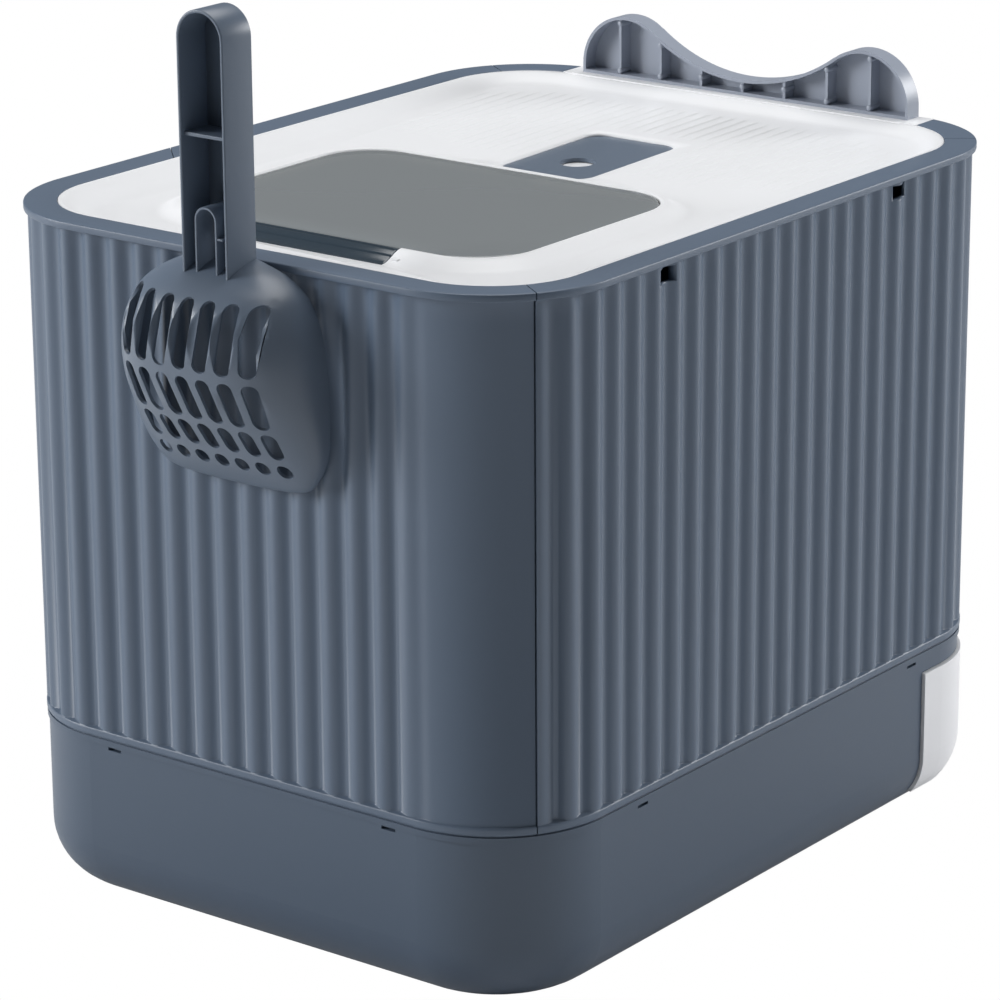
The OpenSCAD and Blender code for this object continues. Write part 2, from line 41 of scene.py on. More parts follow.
# Sizes in millimetres, as in the construction
W, L, H = 400.0, 515.0, 420.0
RIM_R, RIM_W = 77.0, 19.6
WALL_IN, FLUTE_D, WALL_T = 2.3, 3.6, 2.0
BASE_H = 108.5
MID_IN = WALL_IN + FLUTE_D / 2
INNER_IN = WALL_IN + FLUTE_D + WALL_T
LEDGE_W = 3.5
ARC = (RIM_R - MID_IN) * math.pi / 2
SW, SL = W - 2 * RIM_R, L - 2 * RIM_R
RUNS = [0, SL / 2, ARC, SW, ARC, SL, ARC, SW, ARC, SL / 2]
for i in range(1, len(RUNS)):
    RUNS[i] += RUNS[i - 1]
ALL = RUNS[-1]
FLUTES, SHIFT = 88, 5.3
PITCH = ALL / FLUTES


def on_wall(s, d):
    """The point at distance s round the wall, set in by d from the rim's edge."""
    s %= ALL
    k = next(i for i in range(9) if s <= RUNS[i + 1] + 1e-9)
    t = s - RUNS[k]
    hx, hy, r = W / 2, L / 2, RIM_R
    if k in (1, 3, 5, 7):
        quad = (k - 1) // 2
        a = math.radians(90 * quad) + t / ARC * math.pi / 2
        cx = (hx - r) * (1, -1, -1, 1)[quad]
        cy = (hy - r) * (1, 1, -1, -1)[quad]
        return cx + (r - d) * math.cos(a), cy + (r - d) * math.sin(a)
    if k == 0:
        return hx - d, t
    if k == 2:
        return hx - r - t, hy - d
    if k == 4:
        return d - hx, hy - r - t
    if k == 6:
        return r - hx + t, d - hy
    return hx - d, r - hy + t


def mesh_object(name, verts, faces, sharp=38):
    mesh = bpy.data.meshes.new(name)
    mesh.from_pydata([(x * MM, y * MM, z * MM) for x, y, z in verts], [], faces)
    bm = bmesh.new()
    bm.from_mesh(mesh)
    bmesh.ops.remove_doubles(bm, verts=bm.verts, dist=1e-7)
    bmesh.ops.recalc_face_normals(bm, faces=bm.faces)
    bm.to_mesh(mesh)
    bm.free()
    mesh.polygons.foreach_set("use_smooth", [True] * len(mesh.polygons))
    mesh.set_sharp_from_angle(angle=math.radians(sharp))
    obj = bpy.data.objects.new(name, mesh)
    bpy.context.scene.collection.objects.link(obj)
    return obj


def loft(name, loops, closed, caps=True, sharp=38):
    """Joins loops of points. closed joins the last loop to the first one."""
    n = len(loops[0])
    verts = [p for loop in loops for p in loop]
    faces = []
    m = len(loops)
    for i in range(m if closed else m - 1):
        a, b = i * n, (i + 1) % m * n
        for j in range(n):
            k = (j + 1) % n
            faces.append((a + j, a + k, b + k, b + j))
    if not closed and caps:
        faces.append(tuple(range(n))[::-1])
        faces.append(tuple(range((m - 1) * n, m * n)))
    return mesh_object(name, verts, faces, sharp)


def put(obj, body, slot, *replaced):
    """Names the nodes that a piece replaces, the body it rides on and its material slot, which is not used.
    """
    if replaced:
        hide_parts(*replaced)
    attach(obj, body)
    return obj


# Materials
def plastic(name, color, rough, grain=0.06, grain_scale=900, spec=0.5, vary=0.04, coat=0.0):
    mat = bpy.data.materials.new(name)
    mat.use_nodes = True
    nt = mat.node_tree
    bsdf = nt.nodes["Principled BSDF"]
    coord = nt.nodes.new("ShaderNodeTexCoord")
    noise = nt.nodes.new("ShaderNodeTexNoise")
    noise.inputs["Scale"].default_value = grain_scale
    noise.inputs["Detail"].default_value = 3
    nt.links.new(coord.outputs["Object"], noise.inputs["Vector"])
    bump = nt.nodes.new("ShaderNodeBump")
    bump.inputs["Strength"].default_value = grain
    bump.inputs["Distance"].default_value = 0.0004
    nt.links.new(noise.outputs["Fac"], bump.inputs["Height"])
    nt.links.new(bump.outputs["Normal"], bsdf.inputs["Normal"])
    broad = nt.nodes.new("ShaderNodeTexNoise")
    broad.inputs["Scale"].default_value = 7
    broad.inputs["Detail"].default_value = 4
    nt.links.new(coord.outputs["Object"], broad.inputs["Vector"])
    ramp = nt.nodes.new("ShaderNodeMapRange")
    ramp.inputs["To Min"].default_value = rough - vary
    ramp.inputs["To Max"].default_value = rough + vary
    nt.links.new(broad.outputs["Fac"], ramp.inputs["Value"])
    nt.links.new(ramp.outputs["Result"], bsdf.inputs["Roughness"])
    mix = nt.nodes.new("ShaderNodeMix")
    mix.data_type = "RGBA"
    mix.inputs["A"].default_value = (*[c * (1 - vary) for c in color], 1)
    mix.inputs["B"].default_value = (*[min(1, c * (1 + vary)) for c in color], 1)
    nt.links.new(broad.outputs["Fac"], mix.inputs["Factor"])
    nt.links.new(mix.outputs["Result"], bsdf.inputs["Base Color"])
    bsdf.inputs["Specular IOR Level"].default_value = spec
    bsdf.inputs["Coat Weight"].default_value = coat
    return mat


slate = plastic("slate wall", (0.098, 0.135, 0.193), 0.42)
slate_trim = plastic("slate trim", (0.075, 0.100, 0.135), 0.25, grain=0.02)
slate_tool = plastic("slate scoop", (0.112, 0.146, 0.198), 0.36)
slate_base = plastic("slate base", (0.069, 0.099, 0.146), 0.40)
# The ears are the walls' slate painted lighter: painted light where light falls on their back plates
slate_ears_painted_light = plastic("slate ears painted lighter", (0.305, 0.340, 0.410), 0.36)
slate_gloss = plastic("slate hinge", (0.030, 0.046, 0.063), 0.13, grain=0.01, vary=0.02)
white = plastic("white lid", (0.80, 0.81, 0.83), 0.38, grain=0.04)
white_front = plastic("white front", (0.78, 0.79, 0.82), 0.35, grain=0.03)
smoke = plastic("smoked door", (0.315, 0.345, 0.362), 0.13, grain=0.0, vary=0.02)


def let_through(mat, share, tint):
    """Lets part of the light straight through a material."""
    nt = mat.node_tree
    clear = nt.nodes.new("ShaderNodeBsdfTransparent")
    clear.inputs["Color"].default_value = (*tint, 1)
    mix = nt.nodes.new("ShaderNodeMixShader")
    mix.inputs[0].default_value = share
    nt.links.new(nt.nodes["Principled BSDF"].outputs[0], mix.inputs[1])
    nt.links.new(clear.outputs[0], mix.inputs[2])
    nt.links.new(mix.outputs[0], nt.nodes["Material Output"].inputs["Surface"])


let_through(smoke, 0.36, (0.82, 0.80, 0.77))

looks = {
    "base": slate_base, "scoop_hook": slate, "panel_left": slate, "panel_right": slate,
    "panel_front": slate, "panel_rear": slate, "drawer_tray": slate_tool, "drawer_front": white_front,
    "lid": white, "latch_cover": white, "ear_crest": slate_ears_painted_light, "door": smoke,
    "hinge_block": slate_trim, "latch": slate_tool, "scoop": slate_tool,
}
for name, mat in looks.items():
    o = nodes[name]
    o.data.materials.clear()
    o.data.materials.append(mat)


# Height of the ring of points that ends the walls' tall faces just below the windows
WINDOW_RING = 403.6


# Walls: the section is carried round the body and follows the flutes
def wall_section(d):
    """Points of the section: distance in from the rim's edge, and height."""
    top = RIM_W + LEDGE_W
    return [
        (8.2, 98), (6.2, 98), (6.2, BASE_H), (3.3, BASE_H), (3.3, 109.0), (2.5, 109.2), (2.1, 109.6),
        (2.05, 110.4), (2.05, 112.6), (2.2, 113.3), (2.6, 113.7), (0.4 * 2.6 + 0.6 * (d + 0.3), 113.9),
        (d, 114.6), (d, WINDOW_RING), (d, 414.2), (d - 0.3, 415.0), (1.2, 415.5), (0.5, 415.6),
        (0.12, 415.8), (0, 416.3), (0, 419.2), (0.2, 419.7), (0.7, 419.95), (1.3, H), (RIM_W - 0.9, H),
        (RIM_W - 0.3, 419.8), (RIM_W, 419.3), (RIM_W, 415.6), (top, 415.6), (top, 413.2),
        (RIM_W - 2, 413.2), (RIM_W - 2, 415.6), (INNER_IN, 415.6), (INNER_IN, WINDOW_RING),
        (INNER_IN, 109.0), (8.2, 108.7),
    ]


def fade(s, flat):
    """0 where the wall is smooth, 1 where it is fluted."""
    f = 1.0
    for a, b, c, d in flat:
        if a < s < d:
            f *= 1 - (s - a) / (b - a) if s < b else 0 if s < c else (s - c) / (d - c)
    return f


def wall(name, start, end, slant_start=0.0, slant_end=0.0, flat=()):
    steps = int((end - start) / PITCH * 12)
    loops = []
    for i in range(steps + 1):
        t = i / steps
        s = start + (end - start) * t
        wave = math.cos(2 * math.pi * (s - SHIFT) / PITCH) * fade(s, flat)
        d = MID_IN - 0.15 - (FLUTE_D / 2 - 0.15) * wave
        near = max(0, 1 - (s - start) / 30) * slant_start + max(0, 1 - (end - s) / 30) * slant_end
        loops.append([(*on_wall(s + near * q, q), z) for q, z in wall_section(d)])
    obj = loft(name, loops, False, sharp=50)
    obj.data.materials.append(slate)
    return obj


def box(name, lo, hi):
    """A block between its lowest and highest corners, in millimetres."""
    v = [(x, y, z) for x in (lo[0], hi[0]) for y in (lo[1], hi[1]) for z in (lo[2], hi[2])]
    f = [(0, 1, 3, 2), (4, 6, 7, 5), (0, 4, 5, 1), (2, 3, 7, 6), (0, 2, 6, 4), (1, 5, 7, 3)]
    return mesh_object(name, v, f)


def cut(obj, *boxes):
    """Cuts boxes, given by their lowest and highest corners in millimetres, out of a piece."""
    for i, (lo, hi) in enumerate(boxes):
        tool = box(obj.name + "_cut%d" % i, lo, hi)
        mod = obj.modifiers.new("cut", "BOOLEAN")
        mod.operation = "DIFFERENCE"
        mod.solver = "EXACT"
        mod.object = tool
        bpy.context.view_layer.objects.active = obj
        bpy.ops.object.modifier_apply(modifier=mod.name)
        bpy.data.objects.remove(tool)


seam = [RUNS[3] + 55 / 90 * ARC, RUNS[5] + 36 / 90 * ARC, RUNS[7] + 55 / 90 * ARC, ALL + 80.8]
gap = 0.35
smooth_corner = [(RUNS[3] - 16, RUNS[3] + 10, RUNS[3] + 200, RUNS[3] + 300)]
left = wall("wall_left", seam[0] + gap, seam[1] - gap)
front = wall("wall_front", seam[1] + gap, seam[2] - gap)
right = wall("wall_right", seam[2] + gap, seam[3] - gap, slant_end=0.98)
rear = wall("wall_rear", seam[3] - ALL + gap, seam[0] - gap, slant_start=0.98, flat=smooth_corner)
windows = [((-201, y - 7.5, 404.5), (-180, y + 7.5, 413.1)) for y in (119.0, -121.5)]
cut(left, *windows)
cut(right, ((180, -129, 404.5), (201, -114, 413.1)))
cut(rear, ((180, 111.5, 404.5), (201, 126.5, 413.1)))
cut(front, ((-136.4, -300, 415.61), (136.4, -233, 430)))
put(left, "box", "slate_wall", "panel_left")
put(front, "box", "slate_wall", "panel_front")
put(right, "box", "slate_wall", "panel_right")
put(rear, "box", "slate_wall", "panel_rear")


def bevel(obj, width, segments=2, angle=40):
    """Rounds the sharp edges of a piece."""
    mod = obj.modifiers.new("edges", "BEVEL")
    mod.width = width * MM
    mod.segments = segments
    mod.limit_method = "ANGLE"
    mod.angle_limit = math.radians(angle)
    mod.harden_normals = True
    return obj


def round_loop(w, l, r, z, cy=0.0, n=12):
    """Points round a rectangle with round corners."""
    points = []
    for k, (sx, sy) in enumerate(((1, 1), (-1, 1), (-1, -1), (1, -1))):
        for i in range(n + 1):
            a = math.radians(90 * (k + i / n))
            points.append((sx * (w / 2 - r) + r * math.cos(a), cy + sy * (l / 2 - r) + r * math.sin(a), z))
    return points


def in_round(x, y, w, l, r, cy=0.0):
    """Whether a point lies inside a rectangle with round corners."""
    dx, dy = abs(x) - (w / 2 - r), abs(y - cy) - (l / 2 - r)
    return max(dx, dy) <= 0 or math.hypot(max(dx, 0), max(dy, 0)) <= r


def sheet(name, points, loops, keep, place, thick):
    """A sheet with holes: triangulated flat, then placed in space and given its thickness."""
    flat = [Vector(p) for p in points]
    edges = []
    for loop in loops:
        first = len(flat)
        flat += [Vector(p) for p in loop]
        edges += [(first + i, first + (i + 1) % len(loop)) for i in range(len(loop))]
    flat, _, tris, *_ = delaunay_2d_cdt(flat, edges, [], 0, 1e-5)
    tris = [t for t in tris if keep(*(sum((flat[i] for i in t), Vector((0, 0))) / len(t)))]
    obj = mesh_object(name, [place(*p) for p in flat], [tuple(t) for t in tris])
    bm = bmesh.new()
    bm.from_mesh(obj.data)
    bmesh.ops.delete(bm, geom=[v for v in bm.verts if not v.link_faces], context="VERTS")
    bm.to_mesh(obj.data)
    bm.free()
    mod = obj.modifiers.new("thickness", "SOLIDIFY")
    mod.thickness = thick * MM
    mod.offset = -1
    return obj


def face_to(obj, way):
    """Turns a sheet's faces so that they look along a direction."""
    total = sum((p.normal * p.area for p in obj.data.polygons), Vector((0, 0, 0)))
    if total.dot(Vector(way)) < 0:
        obj.data.flip_normals()
    return obj


# Scoop: head, handle and arch
SCOOP_X, SCOOP_Y = -3.5, 259.0
# Height, depth and half width of the head from its tip to its top
HEAD = [
    (289.7, 1.5, 27), (292.4, 4, 49), (302, 11.5, 59.5), (316, 20.7, 65.4), (334, 33, 66.9), (352, 44, 66.3),
    (373, 49, 64.6), (390, 46, 61), (404.5, 36.6, 53), (414, 24, 39), (419, 12, 23.5), (421, 1, 15),
]
HEAD_POWER = 2.7
SLOT_W, SLOT_R, SLOT_PITCH = 9.6, 4.4, 14.5
SLOT_ROWS = ((366, 404.5), (334, 362), (314, 331), (301.5, 310))
GRIP_HALF, GRIP_LOW, GRIP_TURN = 16.5, 411.0, 544.5
ARCH_HALF, ARCH_LOW, ARCH_TURN = 8.0, 413.0, 444
HOLE_HALF, HOLE_LOW = 6.4, 416


def spline(points, t):
    """A smooth curve through points, for t from 0 to the number of spans."""
    i = min(int(t), len(points) - 2)
    f = t - i
    a, b, c, d = (points[max(0, min(len(points) - 1, i + k))] for k in (-1, 0, 1, 2))
    return [
        0.5 * (2 * q + (r - p) * f + (2 * p - 5 * q + 4 * r - s) * f * f + (3 * q - p - 3 * r + s) * f ** 3)
        for p, q, r, s in zip(a, b, c, d)
    ]


def head_point(turn, t):
    z, depth, half = spline(HEAD, max(0, min(len(HEAD) - 1, t)))
    c, s = math.cos(turn), math.sin(turn)
    x = SCOOP_X + half * math.copysign(abs(c) ** (2 / HEAD_POWER), c)
    return x, SCOOP_Y + depth * max(0, s) ** (2 / HEAD_POWER), z


def head_place(x, z):
    """Where a point of the head's front view lies on the surface."""
    low, high = 0.0, len(HEAD) - 1.0
    for _ in range(40):
        mid = (low + high) / 2
        low, high = (mid, high) if spline(HEAD, mid)[0] < z else (low, mid)
    u = (x - SCOOP_X) / spline(HEAD, low)[2]
    return math.acos(max(-1, min(1, math.copysign(abs(u) ** (HEAD_POWER / 2), u)))), low


def slot_corner(z0, z1):
    """Corner radius of a slot between two heights."""
    return min(SLOT_R, (z1 - z0) / 2 - 0.05)


def slot_outline(x, z0, z1):
    r = slot_corner(z0, z1)
    loop = []
    for k, (sx, sz) in enumerate(((1, 1), (-1, 1), (-1, -1), (1, -1))):
        cz = z1 - r if sz > 0 else z0 + r
        for i in range(6):
            a = math.radians(90 * (k + i / 5))
            loop.append((x + sx * (SLOT_W / 2 - r) + r * math.cos(a), cz + r * math.sin(a)))
    return loop


def build_head():
    slots = [(SCOOP_X + SLOT_PITCH * k, z0, z1) for k in range(-3, 4) for z0, z1 in SLOT_ROWS]
    loops = [[head_place(x, z) for x, z in slot_outline(*s)] for s in slots]
    steps_t, steps_a = 66, 64
    spans = len(HEAD) - 1.0
    grid = [(math.pi * j / steps_a, spans * i / steps_t)
            for i in range(steps_t + 1) for j in range(steps_a + 1)]

    def near_slot(a, t, grow):
        x, _, z = head_point(a, t)
        return any(abs(x - sx) < SLOT_W / 2 + grow and z0 - grow < z < z1 + grow for sx, z0, z1 in slots)

    def keep(a, t):
        x, _, z = head_point(a, t)
        return not any(in_round(x - sx, z, SLOT_W, z1 - z0, slot_corner(z0, z1), (z0 + z1) / 2)
                       for sx, z0, z1 in slots)

    grid = [p for p in grid if not near_slot(*p, 0.9) or p[0] in (0, math.pi)]
    head = face_to(sheet("scoop_head", grid, loops, keep, head_point, 1.9), (0, 1, 0))
    return bevel(head, 0.45, 2, 50)


def hairpin(half, low, turn, rows, arcs):
    """Points up one side of the handle, round its top and down the other side."""
    angles = [math.pi * i / arcs for i in range(arcs + 1)]
    up = [(SCOOP_X + half, low + (turn - low) * i / rows) for i in range(rows)]
    over = [(SCOOP_X + half * math.cos(a), turn + half * math.sin(a)) for a in angles]
    down = [(SCOOP_X - half, turn - (turn - low) * i / rows) for i in range(1, rows + 1)]
    return up + over + down


def inward(x, z, turn):
    """The direction from the outline towards the handle's middle."""
    if z > turn:
        v = Vector((SCOOP_X - x, turn - z)).normalized()
        return v.x, v.y
    return (-1.0 if x > SCOOP_X else 1.0), 0.0


def channel(name, path, section, turn):
    """Carries a section along the outline of the handle or the arch."""
    rings = []
    for x, z in path:
        vx, vz = inward(x, z, turn)
        rings.append([(x + vx * d, SCOOP_Y + y, z + vz * d) for d, y in section])
    return loft(name, rings, False)


def build_back(path):
    """The handle's back plate with the hole for the hook."""
    angles = [math.pi * i / 16 for i in range(17)]
    hole = [(SCOOP_X + HOLE_HALF * math.cos(a), ARCH_TURN + HOLE_HALF * math.sin(a)) for a in angles]
    hole += [(SCOOP_X - HOLE_HALF, HOLE_LOW), (SCOOP_X + HOLE_HALF, HOLE_LOW)]
    edge = []
    for x, z in path:
        vx, vz = inward(x, z, GRIP_TURN)
        edge.append((x + vx * 0.4, z + vz * 0.4))

    def in_plate(x, z):
        straight = abs(x - SCOOP_X) < HOLE_HALF and HOLE_LOW < z < ARCH_TURN
        return not straight and math.hypot(x - SCOOP_X, z - ARCH_TURN) >= HOLE_HALF

    plate = sheet("scoop_back", [], [edge, hole], in_plate, lambda x, z: (x, SCOOP_Y + 2.0, z), 2.0)
    return face_to(plate, (0, 1, 0))


def build_scoop():
    head = build_head()
    path = hairpin(GRIP_HALF, GRIP_LOW, GRIP_TURN, 16, 24)
    wall_lip = [(0, 0), (0, 23.4), (0.2, 23.8), (0.6, 24), (1.4, 24), (1.8, 23.8), (2.0, 23.4), (2.0, 0)]
    handle = channel("scoop_handle", path, wall_lip, GRIP_TURN)
    plate = build_back(path)
    arch_lip = [(0, 0.5), (0, 22.4), (0.3, 22.8), (1.3, 22.8), (1.6, 22.4), (1.6, 0.5)]
    arch = channel("scoop_arch", hairpin(ARCH_HALF, ARCH_LOW, ARCH_TURN, 6, 16), arch_lip, ARCH_TURN)
    ribs = [bevel(box("scoop_rib", (-18.6, 260, 490), (11.6, 280.5, 492)), 0.3),
            bevel(box("scoop_arch_rib", (-15.2, 260, 434.2), (-11.0, 281.5, 435.4)), 0.2)]
    put(head, "scoop", "slate_scoop", "scoop")
    for piece in (handle, plate, arch, *ribs):
        put(piece, "scoop", "slate_scoop")
    for piece in (head, handle, plate, arch, *ribs):
        piece.data.materials.append(slate_tool)


build_scoop()


# Lid: dished top with the moulded slope round the door
DECK_Z, DECK_DROP, SLOPE_Y, SLOPE_END = H - 9.3, 9.3, -20.0, -215.0
TILT = 3.3 / (SLOPE_Y - SLOPE_END)
LID_IN, DISH_W, LID_T = 20.0, 25.0, 2.4
DOOR_X, DOOR_MID, DOOR_L, DOOR_R = 121.0, 87.0, 186.0, 37.0
COLLAR_W, DOOR_DROP = 17.7, 3.4
WINDOW = (66.0, 105.0, 13.0, SLOPE_Y - 57.5)
GRID_STEP = 12.5
BEARING_X = 63.2
HINGE_CUT = ((-59.6, 160, 390), (59.6, 199.2, 430))
TONGUE_SLITS = (((7.9, -26.5, 405), (9.3, -23.6, 430)), ((-9.3, -26.5, 405), (-7.9, -23.6, 430)))
CATCH_CUT = ((-15, -9, 390), (15, 1, 430))
LEDGE_RINGS = ((1.5, 411.2), (1.5, 413.2), (-6, 413.2), (-6, 411.2))


def deck(y):
    """Height of the lid's deck, which rises towards the front."""
    return DECK_Z + max(0.0, min(SLOPE_Y - y, SLOPE_Y - SLOPE_END + 6)) * TILT


def ease(t):
    return (1 - math.cos(math.pi * t)) / 2


def lid_loops():
    outer = []
    for i in range(9):
        t = i / 8
        q = LID_IN + DISH_W * t
        z = H - 0.4 - (DECK_DROP - 0.4) * (0.35 * t + 0.65 * ease(t))
        loop = round_loop(W - 2 * q, L - 2 * q, RIM_R - q, 0, n=14)
        outer.append([(x, y, max(z, deck(y))) for x, y, _ in loop])
    collar = []
    for i in range(9):
        t = i / 8
        q = 1 + COLLAR_W * (1 - t)
        loop = round_loop(2 * (DOOR_X + q), DOOR_L + 2 * q, DOOR_R + q, 0, DOOR_MID, n=12)
        collar.append([(x, y, deck(y) + (H - DOOR_DROP - deck(y)) * ease(t)) for x, y, _ in loop])
    return outer, collar


def strip(loops):
    """Faces between neighbouring loops of the same number of points."""
    n = len(loops[0])
    verts = [p for loop in loops for p in loop]
    faces = [(i * n + j, i * n + (j + 1) % n, (i + 1) * n + (j + 1) % n, (i + 1) * n + j)
             for i in range(len(loops) - 1) for j in range(n)]
    return verts, faces


def build_lid():
    outer, collar = lid_loops()
    edge_in, edge_out = outer[-1], collar[0]
    q = LID_IN + DISH_W
    window = round_loop(WINDOW[0], WINDOW[1], WINDOW[2], 0, WINDOW[3], n=10)
    near_door = (2 * (DOOR_X + COLLAR_W + 4), DOOR_L + 2 * COLLAR_W + 8, DOOR_R + COLLAR_W, DOOR_MID)
    near_window = (WINDOW[0] + 6, WINDOW[1] + 6, WINDOW[2] + 3, WINDOW[3])
    at_door = (2 * (DOOR_X + 1 + COLLAR_W), DOOR_L + 2 + 2 * COLLAR_W, DOOR_R + 1 + COLLAR_W, DOOR_MID)
    grid = []
    for i in range(-12, 13):
        for j in range(-17, 18):
            x, y = i * GRID_STEP, j * GRID_STEP
            on_deck = in_round(x, y, W - 2 * q - 6, L - 2 * q - 6, RIM_R - q - 3)
            if on_deck and not in_round(x, y, *near_door) and not in_round(x, y, *near_window):
                grid.append((x, y))

    def keep(x, y):
        on_deck = in_round(x, y, W - 2 * q, L - 2 * q, RIM_R - q)
        return on_deck and not in_round(x, y, *at_door) and not in_round(x, y, *WINDOW)

    loops = [[(x, y) for x, y, _ in loop] for loop in (edge_in, edge_out, window)]
    top = sheet("lid_top", grid, loops, keep, lambda x, y: (x, y, deck(y)), LID_T)
    bm = bmesh.new()
    bm.from_mesh(top.data)
    for verts, faces in (strip(outer), strip(collar)):
        made = [bm.verts.new((x * MM, y * MM, z * MM)) for x, y, z in verts]
        for f in faces:
            bm.faces.new([made[i] for i in f])
    bmesh.ops.remove_doubles(bm, verts=bm.verts, dist=2e-5)
    bmesh.ops.recalc_face_normals(bm, faces=bm.faces)
    bm.to_mesh(top.data)
    bm.free()
    top.data.polygons.foreach_set("use_smooth", [True] * len(top.data.polygons))
    face_to(top, (0, 0, 1))
    top.data.materials.append(white)
    return top


lid = build_lid()
bpy.context.view_layer.objects.active = lid
bpy.ops.object.modifier_apply(modifier="thickness")
cut(lid, HINGE_CUT, *TONGUE_SLITS)
put(lid, "lid", "white_lid", "lid")

ledge = loft("lid_ledge", [
    round_loop(2 * DOOR_X + 2 * g, DOOR_L + 2 * g, DOOR_R + g, z, DOOR_MID) for g, z in LEDGE_RINGS], True)
cut(ledge, HINGE_CUT, CATCH_CUT)
tongue = bevel(box("lid_tongue", (-136, -257, 415.8), (136, -235.5, 420)), 0.5)
bearings = []
for s in (-1, 1):
    x = s * BEARING_X
    bearings.append(bevel(box("lid_bearing", (x - 3.2, 187, 406.6), (x + 3.2, 193, 413.4)), 1.2, 3))


# Places across one fine rib
RIB_ACROSS = (-2.2, -1.5, -0.8, 0, 0.8, 1.5, 2.2)
RIB_PITCH, RIB_RISE = 9.2, 0.62


def deck_rib(x):
    """One fine rib with soft ends, along the deck."""
    near = -57.0 if abs(x) > 92 else -44.0
    if abs(x) < 40:
        near = -140.0
    far = -211.0 + max(0.0, abs(x) - 118) * 0.62
    loops = []
    for i in range(25):
        t = i / 24
        y = near + (far - near) * t
        grow = min(1.0, t * 6, (1 - t) * 8)
        lift = RIB_RISE * ease(max(0.0, grow))
        loops.append([(x + w, y, deck(y) - 0.05 + lift * math.cos(math.pi / 2 * w / RIB_ACROSS[-1]))
                      for w in RIB_ACROSS])
    return loops


def build_ribs():
    verts, faces = [], []
    for k in range(-17, 18):
        loops = deck_rib(k * RIB_PITCH)
        n, first = len(RIB_ACROSS), len(verts)
        verts += [p for loop in loops for p in loop]
        for i in range(len(loops) - 1):
            a, b = first + i * n, first + (i + 1) * n
            faces += [(a + j, a + j + 1, b + j + 1, b + j) for j in range(n - 1)]
    obj = mesh_object("lid_ribs", verts, faces, 80)
    return face_to(obj, (0, 0, 1))


for piece in (ledge, tongue, *bearings, build_ribs()):
    piece.data.materials.append(white)
    put(piece, "lid", "white_lid")


# Door: a smoked plate whose edge rolls down
def build_door():
    profile = [
        (2.0, 413.6), (0.5, 413.65), (0.1, 413.9), (0, 414.4), (0, 414.9), (0.3, 415.5), (1.0, 416.05),
        (2.2, 416.45), (4.5, 416.85), (8, 417.15), (13, 417.33), (20, 417.4),
    ]
    length, mid = DOOR_L - 1, DOOR_MID - 0.5
    loops = [round_loop(2 * (DOOR_X - q), length - 2 * q, DOOR_R - q, z, mid, 16) for q, z in profile]
    plate = loft("door_plate", loops, False, sharp=60)
    plate.data.materials.append(smoke)
    put(plate, "door", "smoked_door", "door")
    catch = [((-14, -5.5, 402.7), (14, -3.5, 404.9)), ((-14, -5.5, 410.5), (14, -3.5, 414)),
             ((-14, -5.5, 404.9), (-9.5, -3.5, 410.5)), ((9.5, -5.5, 404.9), (14, -3.5, 410.5))]
    for low, high in catch:
        piece = box("door_catch", low, high)
        piece.data.materials.append(smoke)
        put(piece, "door", "smoked_door")


build_door()


# Radius of the hinge pins
PIN_R = 1.8


# Hinge block: the S-shaped slope carried on, with two ridges
def build_hinge():
    def top(y):
        t = max(0.0, min(1.0, (y - 181) / COLLAR_W))
        return DECK_Z + (H - DOOR_DROP - DECK_Z) * (1 + math.cos(math.pi * t)) / 2

    shape = [
        (181.0, 412.4), (181.0, 415.7), (181.4, 416.2), (182.2, 416.35), (182.9, 416.1), (183.3, 415.2),
        (183.9, 415.2), (184.3, 416.0), (185.0, 416.2),
    ]
    across = (186.2, 187.4, 188.6, 189.3, 189.6, 190.0, 190.3, 191.5, 193, 194.5, 196, 197.2, 198.2)
    shape += [(y, top(y) - (0.55 if 189.4 < y < 190.2 else 0)) for y in across]
    shape += [(198.6, DECK_Z - 0.2), (198.6, 408.6), (194, 407.2), (190, 406.6), (186, 407.2), (183, 409.5)]
    xs = [-59, -58.6, -58.0, 58.0, 58.6, 59]
    pinch = [0.5, 0.15, 0, 0, 0.15, 0.5]
    loops = [[(x, y, z - p if z > 411 else z) for y, z in shape] for x, p in zip(xs, pinch)]
    block = loft("hinge_strip", loops, False, sharp=55)
    block.data.materials.append(slate_gloss)
    put(block, "door", "slate_trim", "hinge_block")
    others = [bevel(box("hinge_flange", (-56, 164, 411.6), (56, 184, 413.55)), 0.3)]
    angles = [math.tau * i / 20 for i in range(20)]
    for s in (-1, 1):
        ring = [[(x, 190 + PIN_R * math.cos(a), 410 + PIN_R * math.sin(a)) for a in angles]
                for x in (s * 58, s * 63.6)]
        others.append(loft("hinge_pin", ring, False))
    for piece in others:
        piece.data.materials.append(slate_gloss)
        put(piece, "door", "slate_trim")


build_hinge()


# Ears: small round bosses on the ribs of the open side
EAR_X, EAR_R, EAR_PITCH = 91, 34, 32.0
DIP_R, DIP_Z, DIP_TOP = 119, 129.3, 33
BOSS = ((-254.2, 2.0), (-244.0, 1.9), (-243.5, 1.7), (-243.2, 1.2))


def ear_height(x):
    """Height of the ears' outline above the rim at a place across."""
    reach = abs(abs(x) - EAR_X)
    ear = 6 + math.sqrt(max(0.0, EAR_R ** 2 - reach ** 2)) if reach < EAR_R else 0
    dip = DIP_Z - math.sqrt(max(0.0, DIP_R ** 2 - x * x))
    return max(ear, min(DIP_TOP, dip))


def build_bosses():
    angles = [math.tau * i / 16 for i in range(16)]
    for k in range(-3, 4):
        x = EAR_PITCH * k
        tall = ear_height(x)
        spots = (4.0, tall - 4.5) if tall > 24 else (tall / 2 + 0.3,)
        for z in spots:
            ring = [[(x + r * math.cos(a), y, H + z + r * math.sin(a)) for a in angles] for y, r in BOSS]
            boss = loft("ear_boss", ring, False, sharp=60)
            # The bosses take the ears' slate with its painted light
            boss.data.materials.append(slate_ears_painted_light)
            put(boss, "lid", "slate_trim")


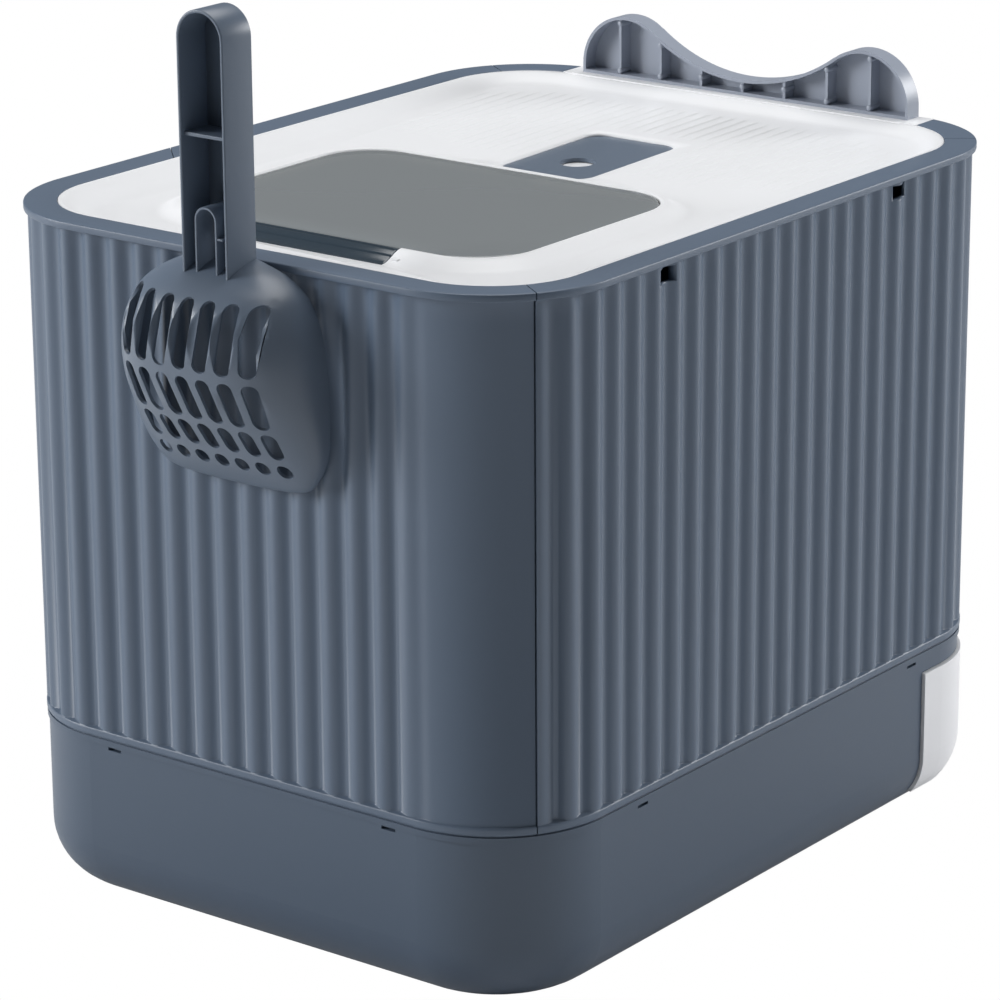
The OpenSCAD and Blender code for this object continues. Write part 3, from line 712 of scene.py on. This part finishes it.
build_bosses()
EDGES = (("ear_crest", 0.5), ("base", 0.5), ("drawer_front", 0.6), ("latch", 0.3), ("drawer_tray", 0.4),
         ("scoop_hook", 0.4))
for name, width in EDGES:
    bevel(nodes[name], width, 2, 35)


# Camera solved from the photo: lens, turn, height angle and roll, the point aimed at and the distance
LENS = 154.17
TURN, RISE, ROLL = 217.326, 17.765, -0.362
AIM, AWAY = (60.506, -65.352, 182.767), 2.71182


def camera():
    data = bpy.data.cameras.new("camera")
    data.sensor_width = 36
    data.lens = LENS
    cam = bpy.data.objects.new("camera", data)
    bpy.context.scene.collection.objects.link(cam)
    az, el, roll = math.radians(TURN), math.radians(RISE), math.radians(ROLL)
    back = Vector((math.sin(az) * math.cos(el), -math.cos(az) * math.cos(el), math.sin(el)))
    right = Vector((math.cos(az), math.sin(az), 0))
    up = back.cross(right)
    r2 = right * math.cos(roll) + up * math.sin(roll)
    u2 = up * math.cos(roll) - right * math.sin(roll)
    place = Vector(AIM) * MM + back * AWAY
    turn = Matrix((r2, u2, back)).transposed()
    cam.matrix_world = Matrix.Translation(place) @ turn.to_4x4()
    data.clip_start, data.clip_end = 0.05, 60
    bpy.context.scene.camera = cam


camera()


# Strength of the sky's light
SKY = 0.13


# Floor, backdrop and lights
def camera_white(nt, socket, out, kind):
    """Shows plain white where the camera looks straight at a surface or the sky."""
    path = nt.nodes.new("ShaderNodeLightPath")
    mix = nt.nodes.new("ShaderNodeMixShader")
    plain = nt.nodes.new(kind)
    plain.inputs["Color"].default_value = (1, 1, 1, 1)
    plain.inputs["Strength"].default_value = 1.0
    nt.links.new(path.outputs["Is Camera Ray"], mix.inputs[0])
    nt.links.new(socket, mix.inputs[1])
    nt.links.new(plain.outputs[0], mix.inputs[2])
    nt.links.new(mix.outputs[0], out.inputs["Surface"])


def stage():
    bpy.ops.mesh.primitive_plane_add(size=40, location=(0, 0, 0))
    floor = bpy.context.object
    floor.name = "floor"
    mat = bpy.data.materials.new("floor")
    mat.use_nodes = True
    nt = mat.node_tree
    b = nt.nodes["Principled BSDF"]
    b.inputs["Base Color"].default_value = (0.8, 0.8, 0.8, 1)
    b.inputs["Roughness"].default_value = 0.9
    b.inputs["Specular IOR Level"].default_value = 0.1
    camera_white(nt, b.outputs[0], nt.nodes["Material Output"], "ShaderNodeEmission")
    floor.data.materials.append(mat)
    world = bpy.data.worlds.new("world")
    bpy.context.scene.world = world
    world.use_nodes = True
    nt = world.node_tree
    sky = nt.nodes["Background"]
    sky.inputs["Color"].default_value = (1, 1, 1, 1)
    sky.inputs["Strength"].default_value = SKY
    camera_white(nt, sky.outputs[0], nt.nodes["World Output"], "ShaderNodeBackground")


def lamp(name, place, size, power, target=(0, 0, 0.25)):
    data = bpy.data.lights.new(name, "AREA")
    data.shape = "DISK"
    data.size = size
    data.energy = power
    o = bpy.data.objects.new(name, data)
    bpy.context.scene.collection.objects.link(o)
    o.location = place
    o.rotation_euler = (Vector(target) - Vector(place)).to_track_quat("-Z", "Y").to_euler()


stage()
lamp("left", (2.5, 2.0, 1.3), 1.5, 92)
lamp("right", (-2.0, -2.7, 1.3), 1.5, 78)
lamp("top", (0.3, -0.6, 3.2), 2.4, 66)
bpy.context.scene.view_settings.view_transform = "Standard"
